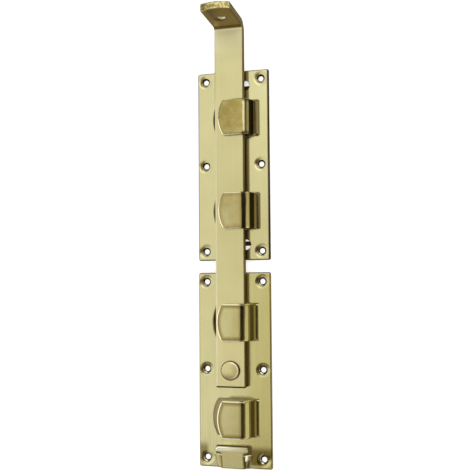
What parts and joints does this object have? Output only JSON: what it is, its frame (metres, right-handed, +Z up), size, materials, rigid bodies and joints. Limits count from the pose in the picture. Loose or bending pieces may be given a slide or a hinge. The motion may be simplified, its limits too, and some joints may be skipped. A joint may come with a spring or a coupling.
{
  "type": "sliding gate bolt",
  "caption": "Surface-mounted sliding gate bolt: a flat bar with a bent handle slides through hooks lanced out of two pressed steel plates, between a rivet and a stop tab.",
  "frame": {"origin": "centre of the bolt plate's back face, which lies on the gate", "axes": "+X right across the plates, +Y into the gate, away from the viewer, +Z up along the bar towards its handle"},
  "size_m": [0.076, 0.0652, 0.4584],
  "materials": {
    "plate_steel": "rolled sheet steel, bright zinc with a pale yellow-gold passivation and faint streaks along the rolling direction",
    "bar_steel": "drawn flat bar steel, bright zinc with a pale yellow-gold passivation and faint lengthwise streaks",
    "rivet_steel": "cold-headed rivet steel, bright zinc with a pale yellow-gold passivation"
  },
  "bodies": {
    "plates": {"bolt_plate": "plate_steel", "keeper_plate": "plate_steel"},
    "bar": {"flat_bar": "bar_steel", "stop_rivet": "rivet_steel"}
  },
  "joints": [
    {"name": "bar_slide", "type": "slide", "parent": "plates", "child": "bar", "axis": [0, 0, 1], "range_m": [-0.0582, 0.1319]}
  ]
}
